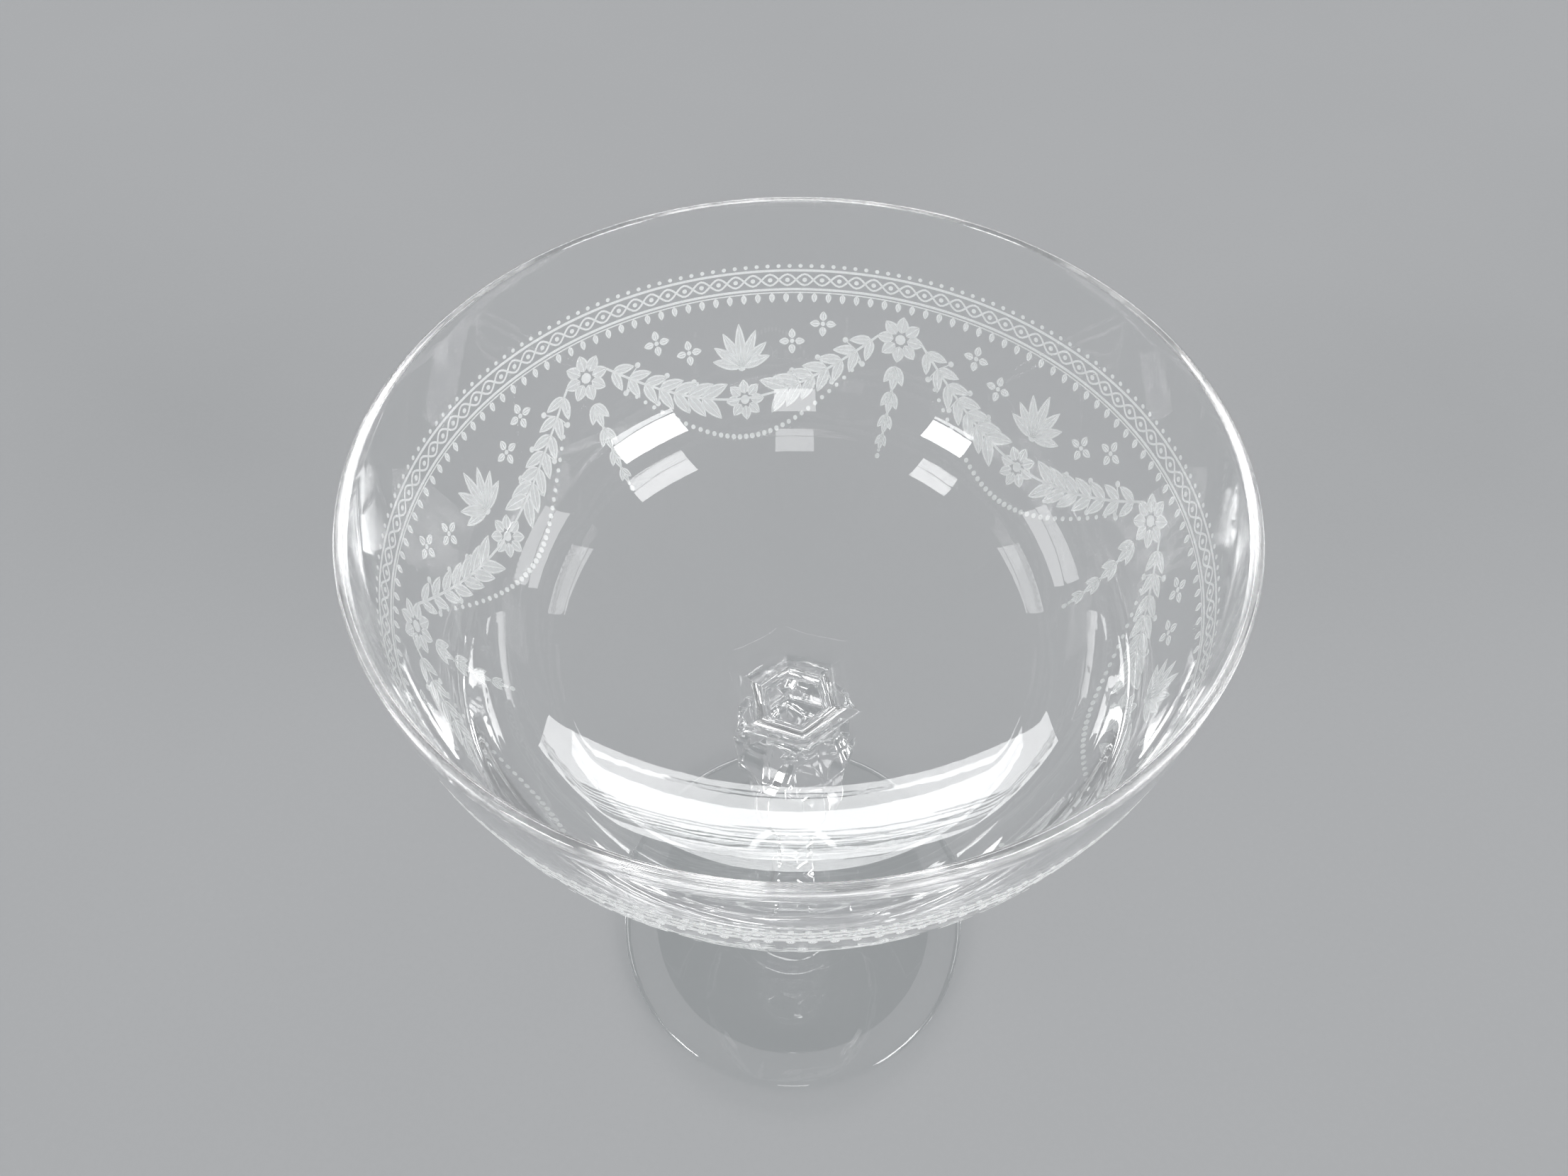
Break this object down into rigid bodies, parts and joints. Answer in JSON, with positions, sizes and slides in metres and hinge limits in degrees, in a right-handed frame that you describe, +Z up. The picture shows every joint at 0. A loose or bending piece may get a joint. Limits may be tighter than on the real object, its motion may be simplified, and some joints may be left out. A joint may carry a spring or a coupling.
{
  "type": "stemmed coupe glass",
  "caption": "Clear crystal coupe: a round thin bowl with a frosted etched band, on a faceted stem with a cut knop and a round foot that stands on a table.",
  "frame": {"origin": "on the axis of the glass, in the plane that the foot stands on", "axes": "+Z up along the axis of the glass; two opposite corners of the six-sided stem point along +Y and -Y"},
  "size_m": [0.096, 0.096, 0.131],
  "materials": {
    "crystal": "clear colourless crystal, fire polished",
    "etching": "white acid-etched frost"
  },
  "bodies": {
    "root": {"bowl": "crystal", "stem": "crystal", "foot": "crystal"}
  },
  "joints": []
}
